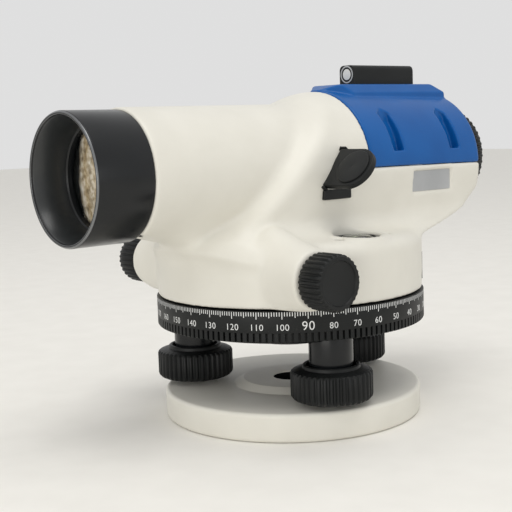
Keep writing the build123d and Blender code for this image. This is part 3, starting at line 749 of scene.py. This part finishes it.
def make_eyepiece():
    outline = [
        (19.1, 89.0), (20.6, 89.0), (21.2, 89.5), (21.5, 90.2), (21.5, 99.6), (21.2, 100.4), (20.4, 101.0),
        (15.0, 101.0), (14.6, 101.4), (14.6, 106.8), (14.0, 107.5), (12.8, 107.5), (12.1, 106.9), (12.1, 97.0), (19.1, 97.0),
    ]
    star, steps = ribbed(48, 8, 0.8, 2, 5)
    ring = lathe("eyepiece_focus_ring", outline, SLOTS["black_plastic"], along_y(), steps, star=star)
    smooth(ring, 35)
    place(ring, "dioptre", "black_plastic", "dioptre_ring")


make_objective()
make_eyepiece()


# ---------------------------------------------------------------- side knobs
def make_tangent_knobs():
    a, b = 52.6, 63.9
    for side, facing in (("left", along_x), ("right", against_x)):
        turn = facing(KNOB_AXIS_Y, KNOB_AXIS_Z)
        outline = [
            (3.0, a), (9.2, a), (10.0, a + 0.4), (10.4, a + 1.0), (10.4, b - 1.3), (10.1, b - 0.5), (9.4, b),
            (8.2, b), (7.9, b - 0.5), (4.2, b - 0.9), (0.01, b - 0.9), (0.01, b - 4.0), (3.0, b - 4.0),
        ]
        star, steps = ribbed(30, 8, 0.65, 2, 5)
        knob = lathe(f"slow_motion_knob_{side}", outline, SLOTS["black_plastic"], turn, steps, star=star)
        smooth(knob, 35)
        place(knob, "tangent_drive", "black_plastic", *(["tangent_knobs"] if side == "left" else []))


def make_focus_knob():
    a, b = 33.4, 47.4
    outline = [
        (2.5, a + 4), (6.4, a + 4), (6.4, a), (12.4, a), (13.4, a + 0.5), (14.0, a + 1.4), (14.0, b - 1.6),
        (13.6, b - 0.6), (12.8, b), (11.0, b), (10.6, b - 0.5), (0.01, b - 0.8), (0.01, b - 5), (2.5, b - 5),
    ]
    star, steps = ribbed(36, 8, 0.8, 4, 7)
    turn = against_x(FOCUS_AXIS_Y, FOCUS_AXIS_Z)
    knob = lathe("focusing_knob", outline, SLOTS["black_plastic"], turn, steps, star=star)
    smooth(knob, 35)
    place(knob, "focus_drive", "black_plastic", "focus_knob")


make_tangent_knobs()
make_focus_knob()


# ---------------------------------------------------------------- sight, mirror, bubble, plates
def make_sight():
    verts, faces = [], []
    corners = [(-4.4, SIGHT_BASE_Z), (4.4, SIGHT_BASE_Z), (4.4, 142.0, 2.6), (-4.4, 142.0, 2.6)]
    shape = rounded(corners, 0.3, 6)
    n = len(shape)
    for y in (36.0, 73.0):
        verts += [(x, y, z) for x, z in shape]
    for k in range(n):
        m = (k + 1) % n
        faces.append((k, m, n + m, n + k))
    faces.append(tuple(range(n - 1, -1, -1)))
    faces.append(tuple(range(n, 2 * n)))
    body = make_object("optical_sight", verts, faces, SLOTS["black_plastic"])
    soften(body, 0.35, 40)
    place(body, "alidade", "black_plastic", "sight_body")
    edge = rounded([(3.1, 0), (3.7, 0, 0.1), (3.7, 0.3, 0.1), (3.1, 0.3)], 0.05, 2)
    ring = lathe("sight_front_ring", edge, SLOTS["label_grey"], sight_at(35.95), 64)
    smooth(ring, 40)
    place(ring, "alidade", "label_grey")
    window = [(0.01, 0.0), (2.0, 0.06), (3.15, 0.2), (3.15, 0.6), (0.01, 0.6)]
    lens = lathe("sight_front_lens", window, FROSTED, sight_at(35.9), 64, closed=False)
    lens.data.shade_smooth()
    place(lens, "alidade", "glass")


def sight_at(y):
    """Local Z goes to +Y, on the sight's own axis."""
    return Matrix.Translation((0, y, 138.1)) @ Matrix.Rotation(-math.pi / 2, 4, "X")


MIRROR = Matrix.Translation((30.2, -3.6, 100.4)) @ Matrix.Rotation(math.radians(51), 4, "X")


def d_plate(name, radius, left, middle, low, high, mat):
    """Plate with a straight left end and a half-round right end, in the mirror's own frame."""
    outline = [(left, -radius)]
    for i in range(33):
        t = -math.pi / 2 + math.pi * i / 32
        outline.append((middle + radius * math.cos(t), radius * math.sin(t)))
    outline.append((left, radius))
    n = len(outline)
    verts = [MIRROR @ Vector((x, y, z)) for z in (low, high) for x, y in outline]
    faces = [(k, (k + 1) % n, n + (k + 1) % n, n + k) for k in range(n)]
    faces += [tuple(range(n - 1, -1, -1)), tuple(range(n, 2 * n))]
    return make_object(name, verts, faces, mat)


def make_mirror():
    black = SLOTS["black_plastic"]
    arm = d_plate("mirror_case", 8.7, 1.2, 13.5, -1.3, 1.2, black)
    soften(arm, 0.45, 50, 3)
    place(arm, "mirror", "black_plastic", "mirror_arm")
    disc = rounded([(0.01, 0.6), (7.3, 0.6), (7.3, 1.85, 0.35), (0.01, 1.85)], 0.1, 3)
    face = lathe("mirror_case_face", disc, black, MIRROR @ along_z(13.3, 0), 96, closed=False)
    smooth(face, 40)
    place(face, "mirror", "black_plastic")
    foot = box_object("mirror_foot", (27.0, -9.8, 88.6), (33.4, 4.4, 92.5), black, bevel=0.5)
    place(foot, "alidade", "black_plastic", "mirror_bracket")
    bar = box_object("mirror_wall_bar", (-6.0, -9.8, -1.3), (0.8, 9.8, 1.3), black, MIRROR, bevel=0.25)
    place(bar, "alidade", "black_plastic")
    for end, low, high in (("upper", 8.9, 9.8), ("lower", -9.8, -8.9)):
        lug = box_object(f"mirror_lug_{end}", (-6.0, low, -1.2), (3.5, high, 1.2), black, MIRROR, bevel=0.3)
        place(lug, "alidade", "black_plastic")


def make_vial():
    here = along_z(VIAL_X, VIAL_Y)
    wall = rounded([(0.01, 66.3), (8.7, 66.3), (8.7, 74.5, 0.3), (7.4, 74.5, 0.3), (7.4, 68.0), (0.01, 68.0)], 0.1)
    cup = lathe("bubble_case", wall, SLOTS["black_metal"], here, 96, closed=False)
    smooth(cup)
    place(cup, "alidade", "black_metal", "vial_holder")
    dome = rounded([(0.01, 68.1), (7.3, 68.1), (7.3, 73.8, 0.4), (5.0, 74.8), (0.01, 75.4)], 0.1)
    glass = lathe("bubble_glass", dome, BUBBLE_GREEN, here, 96, closed=False)
    glass.data.shade_smooth()
    place(glass, "alidade", "glass", "vial")


def make_plates():
    low, high = (30.2, 42.2, 88.4), (30.95, 65.8, 97.0)
    plate = box_object("maker_plate_blank", low, high, SLOTS["label_grey"], bevel=0.3)
    place(plate, "alidade", "label_grey", "name_plate")


make_sight()
make_mirror()
make_vial()
make_plates()


# ---------------------------------------------------------------- carried-over nodes
def dress_nodes():
    by_slot = {s["node"]: s["material_slot"] for s in record["subparts"]}
    for name, obj in nodes.items():
        obj.data.materials.clear()
        obj.data.materials.append(SLOTS[by_slot[name]])


dress_nodes()


# ---------------------------------------------------------------- studio
def make_stage():
    verts = [(-3000, -3000, -0.05), (3000, -3000, -0.05), (3000, 3000, -0.05), (-3000, 3000, -0.05)]
    mat = material("floor", (0.84, 0.82, 0.77), (0.87, 0.85, 0.80), (0.8, 0.9), grain=30.0, bump=0.0)
    floor = make_object("floor", verts, [(0, 1, 2, 3)], mat)
    world = bpy.data.worlds.new("world")
    world.use_nodes = True
    world.node_tree.nodes["Background"].inputs["Color"].default_value = (1.0, 1.0, 1.0, 1.0)
    world.node_tree.nodes["Background"].inputs["Strength"].default_value = 0.74
    bpy.context.scene.world = world
    bpy.context.scene.view_settings.view_transform = "Standard"
    add_light("key", (0.25, -0.10, 1.05), (0.6, 0.6), 3.6, (1.0, 0.99, 0.97))
    add_light("front", (0.40, -1.0, 0.16), (0.8, 0.3), 2.3, (1.0, 0.985, 0.95))
    add_light("side", (1.1, 0.15, 0.25), (0.5, 0.4), 0.6, (0.97, 0.985, 1.0))


def add_light(name, at, size, power, colour):
    data = bpy.data.lights.new(name, "AREA")
    data.shape = "RECTANGLE"
    data.size = size[0]
    data.size_y = size[1]
    data.energy = power
    data.color = colour
    light = bpy.data.objects.new(name, data)
    bpy.context.scene.collection.objects.link(light)
    light.location = at
    light.rotation_euler = (Vector((0, 0, 0.07)) - Vector(at)).to_track_quat("-Z", "Y").to_euler()


make_stage()
